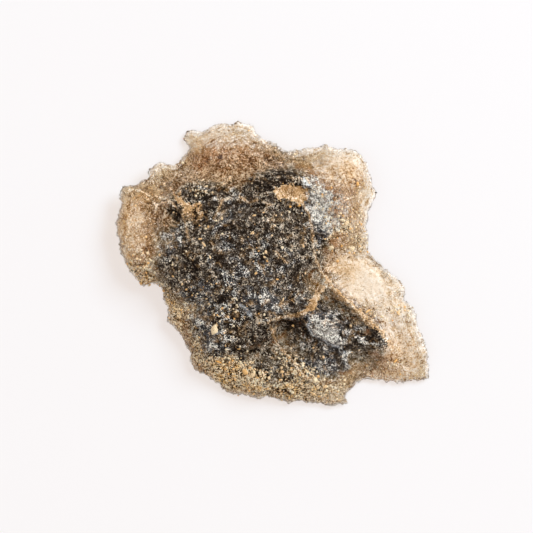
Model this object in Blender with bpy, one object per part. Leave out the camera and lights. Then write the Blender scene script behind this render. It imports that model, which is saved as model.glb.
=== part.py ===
"""A raw flake of natural glass (moldavite), one solid piece lying on its worn underside.

The flake is a warped sheet of glass: thick and knobbly in the middle, thinning to blades at the rim.
Its upper face is a terrain of lumps, hollows and sharp crests where old scars meet, and its underside
is arched and stands on a few worn spots. The origin is on the surface it lies on, under the middle of
its bounding box, with +X along its greatest width and +Z up.
"""

import math

import bmesh
import bpy
import numpy as np
from mathutils import Vector, noise
from mathutils.geometry import delaunay_2d_cdt

MM = 0.001

# Driving dimensions, in millimetres.
GREATEST_THICKNESS = 5.0  # glass under the middle of the upper face
SHEET_THICKNESS = 0.55  # glass of the thin outer lobes
LEAST_THICKNESS = 0.32
RIM_WIDTH = 0.55  # over which the glass grows from its edge to nearly its full thickness
RIM_RISE = 0.22  # of the edge above the underside beside it
RIM_STEP = 0.40  # between points along the edge
UPPER_STEP = 0.48  # between points of the upper face
UNDER_STEP = 0.80  # between points of the underside
CREST_STEP = 0.44  # between points along a crest
CREST_FLANK = 0.34  # between the rows of points that follow a crest on either side of it
CREST_ROWS = 2  # on either side
JAG_DEPTH = 0.13  # of the small chips along the edge
RIPPLE = 0.13  # of the uneven ground between the lumps
UNDER_CLEARANCE = 0.30  # of the underside's general level above the ground
UNDER_RIPPLE = 0.22

# Shallow bowls etched into both faces: how many, least and greatest radius, depth over radius.
UPPER_BOWLS = (230, 0.7, 1.7, 0.16)
UNDER_BOWLS = (90, 1.0, 2.4, 0.11)

# The edge seen from above, clockwise from the notch beside the northern lobe: x, y of each corner.
EDGE = (
    (-8.5, 11.8), (-9.1, 12.4), (-9.0, 13.2), (-8.4, 13.55), (-7.3, 13.4), (-5.6, 14.05), (-4.3, 14.0),
    (-3.3, 14.35), (-1.9, 13.8), (-1.5, 13.1), (-0.7, 12.4), (0.2, 12.1), (1.2, 11.4), (2.5, 11.5),
    (4.2, 11.7), (5.2, 11.95), (6.3, 11.6), (8.0, 11.5), (8.7, 11.2), (9.2, 10.3), (9.8, 8.8),
    (10.0, 8.0), (10.6, 7.2), (10.3, 6.5), (9.5, 4.7), (9.4, 3.9), (9.65, 3.0), (9.7, 1.1),
    (10.9, 0.0), (12.3, -1.3), (13.2, -2.1), (13.3, -2.7), (13.1, -3.3), (13.8, -4.1), (14.3, -5.0),
    (14.6, -6.2), (15.4, -8.2), (15.6, -9.5), (15.8, -11.3), (15.3, -11.8), (13.5, -12.0), (12.0, -12.1),
    (10.0, -11.85), (8.7, -11.9), (8.3, -12.5), (7.8, -12.8), (7.5, -13.4), (7.6, -13.8), (7.1, -14.2),
    (5.3, -14.4), (3.9, -14.0), (3.0, -13.9), (1.9, -14.15), (0.8, -13.9), (-0.3, -13.65), (-1.8, -13.6),
    (-3.8, -13.2), (-4.9, -12.8), (-5.7, -12.1), (-6.8, -11.4), (-8.0, -10.7), (-8.4, -9.9), (-8.5, -9.1),
    (-9.1, -7.8), (-9.6, -7.0), (-10.3, -6.3), (-10.6, -5.6), (-10.5, -4.6), (-11.2, -3.3), (-11.3, -2.6),
    (-11.8, -2.2), (-12.6, -2.3), (-13.3, -2.2), (-14.0, -1.5), (-15.0, 0.1), (-15.3, 1.3), (-15.8, 3.5),
    (-15.6, 4.8), (-15.3, 6.0), (-15.3, 7.6), (-14.8, 7.9), (-13.6, 8.0), (-12.6, 8.7), (-12.3, 9.3),
    (-11.9, 9.9), (-11.1, 10.3), (-9.9, 10.0), (-9.3, 10.5), (-8.9, 11.1), (-8.3, 11.3),
)

# Masses of glass: name, centre x, y, half-lengths along and across, turn in degrees, thickness.
GLASS = (
    ("middle", -2.6, 1.0, 7.6, 7.4, -15, GREATEST_THICKNESS),
    ("west shoulder", -8.6, -0.4, 3.6, 3.8, 0, 4.2),
    ("north-west shoulder", -7.4, 6.3, 3.4, 2.5, 20, 3.6),
    ("north shoulder", 0.4, 7.6, 5.0, 2.5, 0, 3.9),
    ("south shoulder", -3.0, -5.6, 5.6, 4.2, 32, 4.1),
    ("pit", 4.6, -6.8, 5.4, 3.5, -35, 4.2),
    ("pit wall", 6.8, -4.3, 3.6, 1.3, -42, 3.0),
    ("pit tail", 9.4, -7.4, 3.3, 1.9, -32, 3.4),
    ("south shelf", 0.8, -10.7, 6.6, 2.9, -4, 2.8),
    ("south-west shelf", -6.0, -7.8, 3.2, 4.6, 28, 2.8),
    ("west slope", -10.0, 4.2, 1.8, 2.6, 0, 2.5),
    ("west lobe", -12.6, 3.4, 2.8, 4.4, 12, 1.5),
    ("west lobe foot", -12.2, 0.0, 2.6, 1.8, -35, 2.2),
    ("north lobe", -4.4, 10.7, 5.4, 2.1, -4, 1.8),
    ("north-east lobe", 6.6, 8.0, 2.8, 2.5, 0, 1.7),
    ("east shoulder", 4.9, 4.6, 3.6, 4.6, 12, 2.8),
    ("south-east lobe", 11.8, -8.2, 2.9, 3.9, 28, 1.15),
)

# Hollows (negative) and bosses (positive) of the upper face: centre x, y, half-lengths, turn, height.
RELIEF = (
    ("west hollow", -11.6, 4.0, 2.5, 2.4, 20, -0.45),
    ("north hollow", -3.4, 5.5, 2.6, 1.4, 25, -0.50),
    ("middle dish", -0.8, 0.2, 4.4, 3.0, -15, -0.45),
    ("ledge", 2.0, 7.0, 1.8, 0.9, 5, -0.50),
    ("pit", 2.2, -7.0, 2.4, 1.6, -45, -0.90),
    ("pit wall foot", 7.0, -4.6, 3.2, 0.8, -42, -0.65),
    ("pit groove", 6.8, -8.9, 3.2, 0.8, -14, -0.75),
    ("pit boss", 6.0, -6.5, 2.3, 1.4, -22, 0.40),
    ("lower boss", 5.8, -10.1, 2.0, 1.1, -10, 0.40),
    ("east hollow", 10.0, -2.2, 2.6, 1.8, -40, -0.12),
    ("south groove", -2.6, -9.0, 3.4, 0.8, -20, -0.35),
    ("south-west knob", -7.6, -5.6, 1.6, 1.1, 40, 0.30),
    ("south knob", -1.6, -11.6, 1.9, 1.0, 0, 0.25),
)

# Crests where two scars meet: name, height, reach to the left and to the right, then its points.
CRESTS = (
    ("west hollow", 0.65, 0.9, 0.7, ((-11.3, 5.8), (-10.4, 5.8), (-9.8, 5.5), (-9.3, 5.2),
                                     (-8.9, 4.6), (-8.7, 4.1), (-8.5, 3.6), (-8.4, 2.4))),
    ("west brow", 0.40, 0.8, 0.7, ((-13.6, 7.2), (-12.6, 6.9), (-11.5, 6.8), (-10.3, 6.8), (-9.5, 6.1),
                                   (-8.7, 5.2), (-7.9, 4.7))),
    ("north hollow", 0.45, 0.7, 0.9, ((-5.7, 4.4), (-5.3, 5.3), (-4.8, 6.1), (-4.2, 6.5))),
    ("north shell", 0.35, 0.7, 0.7, ((-9.2, 8.4), (-7.4, 7.9), (-6.0, 7.5), (-4.8, 7.9), (-4.2, 8.7))),
    ("ledge", 0.50, 0.9, 0.6, ((-2.4, 6.0), (-1.8, 6.3), (-1.1, 6.1), (-0.3, 5.9), (1.6, 6.3),
                               (2.4, 6.1), (3.0, 5.4), (3.6, 4.9))),
    ("east brow", 0.70, 1.0, 0.6, ((3.8, 3.3), (4.0, 1.0), (4.4, -0.1), (4.8, -1.0), (5.5, -1.9),
                                   (6.9, -3.4), (7.7, -4.2), (8.9, -5.4), (10.1, -6.2), (11.0, -7.1),
                                   (11.9, -8.0))),
    ("pit brow", 0.60, 0.6, 0.8, ((5.1, -2.3), (4.3, -3.6), (3.6, -4.6), (2.8, -5.1), (1.1, -5.3),
                                  (-0.5, -5.7), (0.1, -7.3), (0.8, -8.5), (1.7, -9.4), (2.4, -10.5),
                                  (3.4, -11.3), (4.8, -12.0))),
)

# Where the underside stands clear of the ground: name, centre x, y, half-lengths, turn, height.
UNDER_ARCHES = (
    ("west lobe", -14.0, 3.6, 4.4, 6.2, 5, 1.90),
    ("middle", -1.8, 1.0, 4.6, 5.4, 0, 0.50),
    ("north-east lobe", 9.0, 7.0, 4.0, 5.2, 0, 1.25),
    ("east lobe", 9.6, -2.6, 4.4, 2.8, -35, 1.60),
    ("south-east lobe", 15.0, -6.6, 2.4, 3.4, 20, 0.70),
    ("south-west edge", -10.8, -4.6, 2.4, 3.0, 30, 0.85),
    ("north notch", 1.2, 12.2, 2.6, 1.8, 0, 0.60),
    ("north-west edge", -11.5, 10.0, 2.6, 1.8, 30, 0.90),
)

# Spots worn flat where the flake rests: name, centre x, y, half-lengths, turn, depth below the ground.
WORN_SPOTS = (
    ("north", -5.2, 10.6, 2.2, 1.0, 10, 0.75),
    ("west", -8.6, -2.0, 1.1, 1.8, 15, 0.75),
    ("south", 0.4, -11.2, 2.6, 0.9, -8, 0.75),
    ("south-east", 10.6, -9.4, 1.7, 1.0, -25, 0.85),
    ("east", 4.6, 4.2, 1.2, 1.6, 0, 0.85),
    ("under the pit", 2.2, -5.2, 2.2, 1.5, -30, 0.90),
)

GLASS_COLOUR = (0.17, 0.125, 0.085, 1.0)


def clear_scene():
    for obj in list(bpy.data.objects):
        bpy.data.objects.remove(obj, do_unlink=True)


def smooth_outline(corners, step):
    """Points every step along a closed Catmull-Rom curve through the corners."""
    count = len(corners)
    fine = []
    for i in range(count):
        before, start, end, after = (np.array(corners[(i + k) % count]) for k in (-1, 0, 1, 2))
        for t in np.linspace(0.0, 1.0, 12, endpoint=False):
            fine.append(0.5 * (2 * start + (end - before) * t
                               + (2 * before - 5 * start + 4 * end - after) * t ** 2
                               + (3 * start - before - 3 * end + after) * t ** 3))
    return spaced(np.array(fine + fine[:1]), step)[:-1]


def spaced(line, step):
    """The polyline's points read again at even distances near step, its ends kept."""
    lengths = np.linalg.norm(np.diff(line, axis=0), axis=1)
    along = np.concatenate([[0.0], np.cumsum(lengths)])
    wanted = np.linspace(0.0, along[-1], max(2, round(along[-1] / step) + 1))
    return np.stack([np.interp(wanted, along, line[:, k]) for k in (0, 1)], axis=1)


def normals_of(line):
    """Unit vectors square to a polyline at its points, pointing to its left."""
    ahead = np.gradient(line, axis=0)
    square = np.stack([-ahead[:, 1], ahead[:, 0]], axis=1)
    return square / np.linalg.norm(square, axis=1)[:, None]


def chipped(ring):
    """The edge with small chips: each point moved square to the edge. The ring is clockwise."""
    wrapped = np.concatenate([ring[-1:], ring, ring[:1]])
    outward = normals_of(wrapped)[1:-1]
    depth = [noise.noise(Vector((x * 0.9, y * 0.9, 3.0)))
             + 0.6 * noise.noise(Vector((x * 2.1, y * 2.1, 8.0)))
             for x, y in ring]
    return ring + outward * (np.array(depth) * JAG_DEPTH)[:, None]


def distance_to(points, line, closed=False):
    """Each point's distance to a polyline, its side of it (left positive) and its place along it, 0 to 1."""
    starts = line if closed else line[:-1]
    ends = np.roll(line, -1, axis=0) if closed else line[1:]
    best = np.full(len(points), np.inf)
    side = np.zeros(len(points))
    place = np.zeros(len(points))
    for i, (a, b) in enumerate(zip(starts, ends)):
        run = b - a
        t = np.clip(((points - a) @ run) / (run @ run), 0.0, 1.0)
        away = points - (a + t[:, None] * run)
        far = np.linalg.norm(away, axis=1)
        nearer = far < best
        best[nearer] = far[nearer]
        side[nearer] = np.sign(run[0] * away[nearer, 1] - run[1] * away[nearer, 0])
        place[nearer] = (i + t[nearer]) / len(starts)
    return best, side, place


def inside(points, ring):
    """Even-odd test of points against the closed ring."""
    x, y = points[:, 0], points[:, 1]
    odd = np.zeros(len(points), bool)
    for (x0, y0), (x1, y1) in zip(ring, np.roll(ring, -1, axis=0)):
        crosses = (y0 > y) != (y1 > y)
        odd ^= crosses & (x < (x1 - x0) * (y - y0) / ((y1 - y0) or 1e-12) + x0)
    return odd


def mound(points, x, y, along, across, turn, height):
    """A flat-topped mound of the given half-lengths, turned about its centre."""
    c, s = math.cos(math.radians(turn)), math.sin(math.radians(turn))
    dx, dy = points[:, 0] - x, points[:, 1] - y
    reach = ((dx * c + dy * s) / along) ** 2 + ((dy * c - dx * s) / across) ** 2
    return height * np.exp(-reach ** 2)


def ripples(points, wavelength, seed):
    """Uneven ground of about -1 to 1: two octaves of smooth noise."""
    return np.array([noise.noise(Vector((x / wavelength, y / wavelength, seed)))
                     + 0.5 * noise.noise(Vector((2.1 * x / wavelength, 2.1 * y / wavelength, seed + 9.0)))
                     for x, y in points])


def bowls(points, count, least, greatest, depth, seed):
    """Depth of a crowd of shallow round bowls; where two overlap, a sharp edge is left between them."""
    chance = np.random.default_rng(seed)
    low, high = np.array(EDGE).min(axis=0), np.array(EDGE).max(axis=0)
    deepest = np.zeros(len(points))
    for centre in chance.uniform(low, high, (count, 2)):
        radius = chance.uniform(least, greatest)
        away = np.linalg.norm(points - centre, axis=1) / radius
        deepest = np.maximum(deepest, depth * radius * np.maximum(1.0 - away ** 2, 0.0))
    return deepest


def growth(edge_distance, width):
    """0 at the edge, rising to nearly 1 over the width."""
    return 1.0 - np.exp(-1.6 * edge_distance / width)


def crest_height(points, height, left, right, line):
    """A sharp crest: a cusp along the line, falling away to either side and towards its ends."""
    distance, side, place = distance_to(points, np.array(line))
    reach = np.where(side > 0, left, right)
    taper = np.clip(np.minimum(place, 1.0 - place) * 6.0, 0.0, 1.0) ** 0.5
    return height * taper * np.exp(-distance / reach)


def warp(points, edge_distance):
    """Height above the ground of the warped sheet that the glass is laid on."""
    level = UNDER_CLEARANCE + sum(mound(points, *arch[1:]) for arch in UNDER_ARCHES)
    return level + RIM_RISE * np.exp(-1.6 * edge_distance / RIM_WIDTH)


def underside(points, edge_distance):
    """Height of the underside above the ground, worn flat where it rests."""
    rough = UNDER_RIPPLE * ripples(points, 3.4, 21.0) + bowls(points, *UNDER_BOWLS, seed=5)
    rough -= sum(mound(points, *spot[1:]) for spot in WORN_SPOTS)
    return np.maximum(warp(points, edge_distance) + rough * growth(edge_distance, 1.2), 0.0)


def thickness(points, edge_distance):
    """Thickness of the glass above the warped sheet."""
    glass = (sum(mound(points, *mass[1:]) ** 4 for mass in GLASS) + SHEET_THICKNESS ** 4) ** 0.25
    glass += sum(mound(points, *form[1:]) for form in RELIEF)
    glass += sum(crest_height(points, *crest[1:]) for crest in CRESTS)
    thick = np.clip(glass / 2.0, 0.25, 1.2)
    glass += (RIPPLE * ripples(points, 2.2, 4.0) - bowls(points, *UPPER_BOWLS, seed=11)) * thick
    width = RIM_WIDTH * np.clip(glass / 1.2, 1.0, 1.9)
    return np.maximum(glass, LEAST_THICKNESS) * growth(edge_distance, width)


def upper_face(points, edge_distance):
    """Height of the upper face above the ground, everywhere clear of the underside."""
    least = LEAST_THICKNESS * growth(edge_distance, RIM_WIDTH)
    return np.maximum(warp(points, edge_distance) + thickness(points, edge_distance),
                      underside(points, edge_distance) + least)


def hex_grid(ring, step):
    """Points in staggered rows over the ring's bounding box."""
    low, high = ring.min(axis=0), ring.max(axis=0)
    rows = []
    for i, y in enumerate(np.arange(low[1], high[1], step * math.sqrt(0.75))):
        xs = np.arange(low[0] + (i % 2) * step / 2, high[0], step)
        rows.append(np.stack([xs, np.full(len(xs), y)], axis=1))
    return np.concatenate(rows)


def flanks(lines):
    """Rows of points along both sides of each crest, except where they come close to another crest."""
    rows = []
    for away in CREST_FLANK * np.arange(1, CREST_ROWS + 1):
        row = np.concatenate([line + side * normals_of(line) for line in lines for side in (-away, away)])
        nearest = np.min([distance_to(row, line)[0] for line in lines], axis=0)
        rows.append(row[nearest > 0.9 * away])
    return np.concatenate(rows)


def thinned(points, gap):
    """The points in order, less each one closer than the gap to one already kept."""
    kept = []
    for point in points:
        if not kept or np.min(np.linalg.norm(np.array(kept) - point, axis=1)) > gap:
            kept.append(point)
    return np.array(kept)


def sheet(ring, lines, step):
    """A triangulated sheet inside the ring, with the lines as edges of it: points, triangles, origins."""
    kept = [ring]
    edges = [(i, (i + 1) % len(ring)) for i in range(len(ring))]
    for line in lines:
        first = sum(len(k) for k in kept)
        kept.append(line)
        edges += [(first + i, first + i + 1) for i in range(len(line) - 1)]
    free = hex_grid(ring, step)
    for line in lines:
        free = free[distance_to(free, line)[0] > CREST_ROWS * CREST_FLANK + 0.45 * step]
    if lines:
        free = np.concatenate([thinned(flanks(lines), 0.7 * CREST_FLANK), free])
    free = free[inside(free, ring)]
    free = free[distance_to(free, ring, closed=True)[0] > 0.55 * step]
    kept.append(free)
    places = [Vector(p) for p in np.concatenate(kept)]
    made = delaunay_2d_cdt(places, edges, [list(range(len(ring)))], 1, 1e-5)
    return np.array([tuple(p) for p in made[0]]), [tuple(face) for face in made[2]], made[3]


def glass_material():
    material = bpy.data.materials.new("smoky_glass")
    material.use_nodes = True
    shader = material.node_tree.nodes["Principled BSDF"]
    shader.inputs["Base Color"].default_value = GLASS_COLOUR
    shader.inputs["Roughness"].default_value = 0.35
    shader.inputs["Metallic"].default_value = 0.0
    shader.inputs["IOR"].default_value = 1.49
    return material


def add_face(bm, rim_verts, ring, lines, step, height, downwards):
    """Adds the upper face or the underside to the mesh, sewn to the shared rim."""
    points, triangles, origins = sheet(ring, lines, step)
    heights = height(points, distance_to(points, ring, closed=True)[0])
    verts = []
    for (x, y), z, origin in zip(points, heights, origins):
        shared = [i for i in origin if i < len(ring)]
        verts.append(rim_verts[shared[0]] if shared else bm.verts.new(Vector((x, y, z)) * MM))
    for triangle in triangles:
        bm.faces.new([verts[i] for i in (triangle[::-1] if downwards else triangle)])


def moldavite(collection):
    """The flake: two sheets sewn along one chipped edge."""
    ring = chipped(smooth_outline(EDGE, RIM_STEP))
    lines = [spaced(np.array(crest[-1]), CREST_STEP) for crest in CRESTS]
    rim_heights = underside(ring, np.zeros(len(ring)))
    bm = bmesh.new()
    rim_verts = [bm.verts.new(Vector((x, y, z)) * MM) for (x, y), z in zip(ring, rim_heights)]
    add_face(bm, rim_verts, ring, lines, UPPER_STEP, upper_face, downwards=False)
    add_face(bm, rim_verts, ring, [], UNDER_STEP, underside, downwards=True)
    bmesh.ops.recalc_face_normals(bm, faces=bm.faces)
    mesh = bpy.data.meshes.new("moldavite")
    bm.to_mesh(mesh)
    bm.free()
    mesh.shade_smooth()
    mesh.materials.append(glass_material())
    obj = bpy.data.objects.new("moldavite", mesh)
    collection.objects.link(obj)
    return obj


def main():
    clear_scene()
    collection = bpy.data.collections.new("moldavite_flake")
    bpy.context.scene.collection.children.link(collection)
    moldavite(collection)


if __name__ == "__main__":
    main()
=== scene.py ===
"""A raw moldavite flake on a pale table.

The flake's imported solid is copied, divided finely and etched: small cups, sandpaper grain, flow lines,
sharp crests and a chipped rim. Its glass is smoky brown and see-through, its worn places are frosted, and
ochre soil lies in its pits.
"""

import math
from types import SimpleNamespace

import bmesh
import bpy
import numpy as np
from bpy.props import FloatProperty, FloatVectorProperty, IntProperty, PointerProperty
from mathutils import Matrix, Vector, noise
from mathutils.bvhtree import BVHTree
from mathutils.kdtree import KDTree


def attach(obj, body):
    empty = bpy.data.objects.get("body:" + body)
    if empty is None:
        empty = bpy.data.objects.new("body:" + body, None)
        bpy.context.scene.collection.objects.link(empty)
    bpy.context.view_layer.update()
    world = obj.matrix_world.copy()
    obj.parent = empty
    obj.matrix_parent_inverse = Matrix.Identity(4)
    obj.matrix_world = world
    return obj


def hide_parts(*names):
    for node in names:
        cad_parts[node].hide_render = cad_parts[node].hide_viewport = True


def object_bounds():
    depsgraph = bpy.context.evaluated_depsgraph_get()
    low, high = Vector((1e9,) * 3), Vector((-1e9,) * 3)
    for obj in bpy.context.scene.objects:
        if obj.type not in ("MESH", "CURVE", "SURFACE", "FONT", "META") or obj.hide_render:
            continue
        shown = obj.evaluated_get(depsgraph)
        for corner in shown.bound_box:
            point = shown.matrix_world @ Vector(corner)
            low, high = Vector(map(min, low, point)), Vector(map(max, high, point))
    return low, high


bl_info = {
    "name": "Moldavite flake",
    "version": (1, 0, 0),
    "blender": (4, 5, 0),
    "location": "View3D > Sidebar > Moldavite",
    "description": "Makes an etched flake of natural glass with soil in its pits, on a pale table",
    "category": "Add Mesh",
}

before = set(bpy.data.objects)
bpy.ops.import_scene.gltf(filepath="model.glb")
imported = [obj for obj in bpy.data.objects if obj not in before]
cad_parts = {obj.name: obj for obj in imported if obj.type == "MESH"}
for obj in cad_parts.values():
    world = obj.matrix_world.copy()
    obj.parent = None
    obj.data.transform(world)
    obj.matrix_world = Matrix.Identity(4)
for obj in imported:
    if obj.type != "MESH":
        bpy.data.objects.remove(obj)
CAD_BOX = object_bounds()

NODE = "moldavite"
BODY = "root"
FLAKE = "moldavite_flake"
GRAINS = "soil_grains"
MM = 0.001

# The camera looks straight down at this place, and sees this width at this height above the table.
VIEW_CENTRE = (-0.65 * MM, -0.33 * MM)
VIEW_WIDTH = 53.3 * MM
VIEW_HEIGHT = 1.2 * MM
SENSOR_WIDTH = 36.0
CAMERA_LENS = 180.0

TABLE_HALF = 2.0
TABLE_GAP = 0.01 * MM
# Lights: name, place, width, colour.
KEY_LIGHT = ("key_light", (0.26, 0.22, 0.34), 0.24, (0.90, 0.96, 1.0))
TOP_LIGHT = ("top_light", (-0.17, -0.13, 0.45), 0.50, (0.86, 0.93, 1.0))
ROOM_COLOUR = (1.0, 0.95, 0.90, 1.0)

# Noises of the relief: size of the lumps in millimetres, seed, and octaves where it has them.
SWAY = ((0.9, 60.0, 3), (0.9, 70.0, 3))
BREAKS = (0.7, 41.0, 2)
WEAR = (0.8, 31.0, 2)
GRAIN = (0.40, 11.0, 3)
SWELL = (1.3, 23.0, 2)
NOTCHES = (0.9, 50.0, 2)
SPLINTERS = (0.42, 57.0, 3)
WRINKLES = (0.62, 15.0)
LARGE_CUPS = (0.85, 3.0)
SMALL_CUPS = (0.42, 9.0)

# How far each mark wanders from its place, in millimetres.
CREST_SWAY = 0.16
CRACK_SWAY = 0.26
SCRATCH_SWAY = 0.04
FACET_SWAY = 0.36
PATCH_SWAY = 0.7
# How far each mark reaches from its line or the rim, in millimetres.
CREST_WIDTH = 0.12
CREST_SLOPE = 0.16
CRACK_WIDTH = 0.12
BRUISE_HIGHLIGHT_WIDTH = 0.13
SCRATCH_WIDTH = 0.07
FACET_SOFTNESS = 0.24
WALL_WIDTH = 0.09
RIM_LIGHT_WIDTH = 0.17
CHIP_REACH = 0.35
THROUGH_LIGHT_REACH = 1.1
# In millimetres: depth and distance from the rim that a mask of 1 stands for, heights that the painted
# relief shade mask spans (it paints shade in hollows and highlight on peaks), height of the slow swell,
# depth below which the relief fades, and its most above the solid.
FULL_DEPTH = 5.0
RELIEF_SHADE_RANGE = 0.26
SWELL_HEIGHT = 0.06
THIN_DEPTH = 0.7
TOP_ALLOWANCE = 0.1

# The mesh is finest this near to a crest or a facet's edge, followed in these steps.
LINE_REACH = 0.3
LINE_STEP = 0.1
JOIN_DISTANCE = 0.001 * MM
DIVIDING_ROUNDS = 4
SMOOTHING_ROUNDS = 8
SMOOTHING_SHARE = 0.6

# Sharp crests where two scars meet: strength, then x and y of each point in millimetres.
CRESTS = (
    (1, -11.5, 5.8, -10.8, 6, -10.1, 5.9, -9.5, 5.6, -9.1, 5.2, -8.9, 4.7, -8.7, 4.2, -8.55, 3.7,
     -8.45, 3, -8.35, 2.4),
    (0.7, -14.5, 7.1, -13.7, 7.3, -12.8, 6.9, -11.8, 6.7, -10.8, 6.4, -10.1, 6),
    (0.8, -10.3, 7.6, -9.7, 6.9, -9, 6, -8.5, 5, -8.3, 4.2),
    (0.9, -4.4, 6.4, -5.1, 6, -5.4, 5.3, -5.65, 4.7, -5.8, 4.2),
    (0.6, -9.2, 8.4, -7.4, 7.9, -6, 7.5, -4.8, 7.9, -4.2, 8.7),
    (1, -3.3, 6.4, -2.3, 6.1, -1.7, 6.2, -1.1, 6, -0.2, 5.8),
    (0.9, 3, 5.9, 3.5, 4.9, 3.7, 4.2, 3.8, 3.3, 4, 1.8, 4.1, 0.8, 4.4, -0.1, 4.8, -1, 5.5, -1.9,
     6.9, -3.4, 7.7, -4.2, 8.9, -5.4, 10.1, -6.2, 11, -7.1, 11.9, -8),
    (1, 5.1, -2.3, 4.3, -3.6, 3.6, -4.6, 2.8, -5.1, 1.1, -5.3, -0.5, -5.7, 0.1, -7.3, 0.8, -8.5,
     1.7, -9.4, 2.4, -10.5, 3.4, -11.3, 4.8, -12, 6.4, -13.2),
    (0.6, 5.6, -2.3, 6.6, -3.4, 7.9, -4.7, 9.4, -6.1),
    (0.5, 12.4, -2.4, 11.6, -3.3, 10.4, -3.9, 9.8, -4.9),
)
# Dark cracks and undercuts: x and y of each point.
CRACKS = (
    (0.4, 6.1, 1.4, 6.05, 2.1, 5.85, 2.7, 5.5, 3, 5), (-8.3, 3.8, -7.5, 3.75, -6.5, 3.45),
    (-10.5, 5.2, -9.8, 5.2, -9.3, 4.8, -9.1, 4.2), (-8.7, 1.3, -8.1, 0.1, -7.7, -0.7),
    (4.3, -7.6, 6, -8.6, 7.1, -9.3, 8.1, -9.5, 9.5, -9), (-0.3, -6, 0.7, -5.7, 1.9, -5.6, 3.1, -5.4),
    (-0.1, -6.9, 0.9, -8.3, 2.3, -9.8, 3.7, -9.9), (3.2, -5.1, 3, -6.2, 3.4, -7.2, 4.3, -7.9),
    (4.8, -3.8, 5.7, -4.7, 7.2, -5.9, 8.7, -7, 10.2, -7.9), (-2.6, -9.4, -1.5, -8.7, -0.3, -8.9),
    (-0.8, -10.7, -0.5, -11.7, 0.2, -12.5, 1.7, -12.9), (-4.3, -11.6, -3.5, -12.4), (1.2, 2.8, 1, 2),
    (-5.8, 7, -4.8, 7.4, -4, 8.3), (-9.9, 7.2, -9.2, 6.4), (-1.9, 5.7, -1.1, 5.5, -0.4, 5.4),
)
# Bruised, frosted edges, painted with a bluish-white highlight that stands in for a reflection of the cool
# light.
BRUISE_HIGHLIGHT_LINES = (
    (3.6, -5.5, 3.5, -6.2, 3.8, -7, 4.6, -7.5, 5.5, -7.9, 6.4, -8.3, 7.1, -8.8),
    (-3.2, -4.1, -2.5, -4.7, -2.2, -5.1), (3.1, 8.4, 3.2, 7.9, 3.8, 7.6), (3.3, 7, 3.4, 6.4),
)
# Bright threads that only mark the surface.
SCRATCHES = (
    (0.2, 1.2, 0.8, 0.6, 1.4, 0), (7.1, 6.2, 8.1, 6.7), (-1.7, -5, -1.5, -5.4, -1.6, -5.8),
    (11.4, -8.1, 12, -8.3, 12.6, -8.2), (6, 2.9, 7.4, 3),
)
# Flat facets of rubbed, translucent glass: strength, then x and y of each corner.
FACETS = (
    (0.95, 0.1, 7.4, 0.7, 7.7, 1.7, 7.8, 2.7, 7.7, 3.5, 7.2, 3.4, 6.4, 3, 5.9, 2.7, 5.95, 2.1, 6.2,
     1.4, 6.4, 0.4, 6.3, 0.2, 6.7),
    (0.47, -9, 5.8, -7.4, 6, -6.7, 5.1, -7.3, 4.2, -8.1, 4.1, -8.6, 5),
    (0.8, 2.4, -5.1, 2.9, -5.3, 3.9, -4.6, 4.7, -3.4, 5.3, -2.3, 4.7, -2, 3.9, -3.4, 3.2, -4.4),
    (0.55, 4.9, -1.4, 5.2, -1.3, 7.1, -3.2, 9, -5, 10.6, -6.3, 12.1, -8.1, 11.8, -8.2, 10.2, -6.8,
     8.6, -5.5, 6.8, -3.9, 5.6, -2.4),
    (0.6, -9.9, 7, -9.4, 6.9, -8.5, 5.6, -8.3, 4.6, -8.7, 4.6, -9.1, 5.6),
)
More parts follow.
